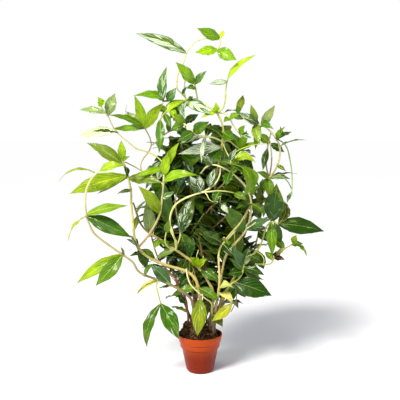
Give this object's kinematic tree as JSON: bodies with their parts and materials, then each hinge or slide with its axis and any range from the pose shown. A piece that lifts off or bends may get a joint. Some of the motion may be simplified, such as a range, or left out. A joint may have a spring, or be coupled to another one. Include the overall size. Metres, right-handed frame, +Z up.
{
  "type": "potted hygrophila",
  "caption": "Leafy hygrophila plant with winding bare stems and paired narrow leaves, growing from a small round plastic pot of soil.",
  "frame": {"origin": "centre of the pot's foot, on the surface that it stands on", "axes": "+Z up along the pot's axis, -Y the front of the plant, +X to the right seen from the front"},
  "size_m": [0.3728, 0.1992, 0.4878],
  "materials": {
    "pot_plastic": "satin",
    "potting_mix": "matte",
    "foliage": "satin"
  },
  "bodies": {
    "root": {"pot": "pot_plastic", "soil": "potting_mix", "shoot_left_loop": "foliage", "shoot_left_main": "foliage", "shoot_left_inner": "foliage", "shoot_middle_right": "foliage", "shoot_right_arch": "foliage", "shoot_top": "foliage", "shoot_right_loops": "foliage", "shoot_right_broad": "foliage", "shoot_right_low": "foliage", "shoot_centre": "foliage", "shoot_left_low": "foliage", "shoot_back_left": "foliage", "shoot_back": "foliage", "shoot_back_right": "foliage", "shoot_right_back": "foliage"}
  },
  "joints": []
}
